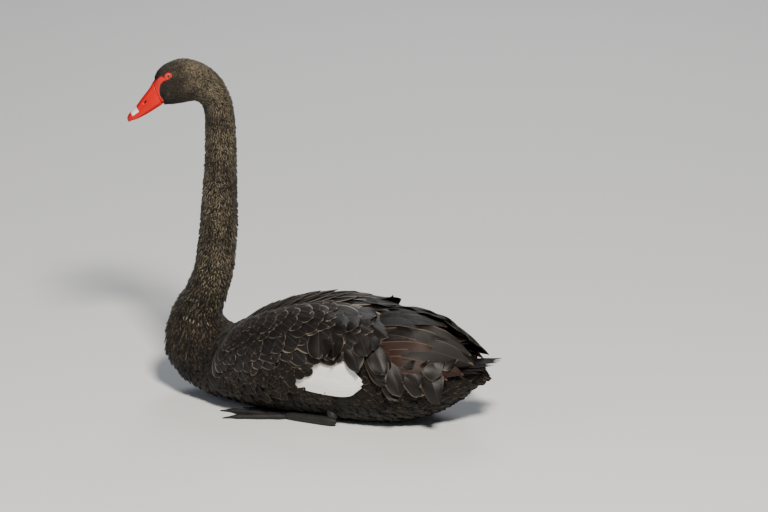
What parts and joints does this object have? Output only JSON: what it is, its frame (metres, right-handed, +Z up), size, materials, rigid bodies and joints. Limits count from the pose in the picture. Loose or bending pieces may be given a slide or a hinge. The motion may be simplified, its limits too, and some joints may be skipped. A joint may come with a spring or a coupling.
{
  "type": "black swan model",
  "caption": "Life-size still model of a black swan resting on its belly, neck upright and head turned to its left, wings folded, with curled wing feathers over the rump and a red, white-banded bill.",
  "frame": {"origin": "on the floor plane, under the middle of the flat that the belly rests on", "axes": "-X the way the body faces, +X towards the tail, -Y to the bird's left, +Z up"},
  "size_m": [0.6632, 0.2538, 0.5998],
  "materials": {
    "plumage_black": "matt, near-black brown feathers with thin paler edges",
    "plumage_white": "matt white flight feathers, creamy below",
    "bill_red": "smooth glossy red horn with a white bar and a darker tip",
    "eye_red": "wet red iris round a black pupil",
    "foot_black": "dull black scaled skin"
  },
  "bodies": {
    "root": {"torso": "plumage_black", "neck_lower": "plumage_black", "neck_middle": "plumage_black", "neck_upper": "plumage_black", "head": "plumage_black", "bill_upper": "bill_red", "bill_lower": "bill_red", "eye_left": "eye_red", "eye_right": "eye_red", "wing_left": "plumage_black", "wing_right": "plumage_black", "primaries_left": "plumage_white", "primaries_right": "plumage_white", "tail": "plumage_black", "leg_left": "foot_black", "leg_right": "foot_black"}
  },
  "joints": []
}
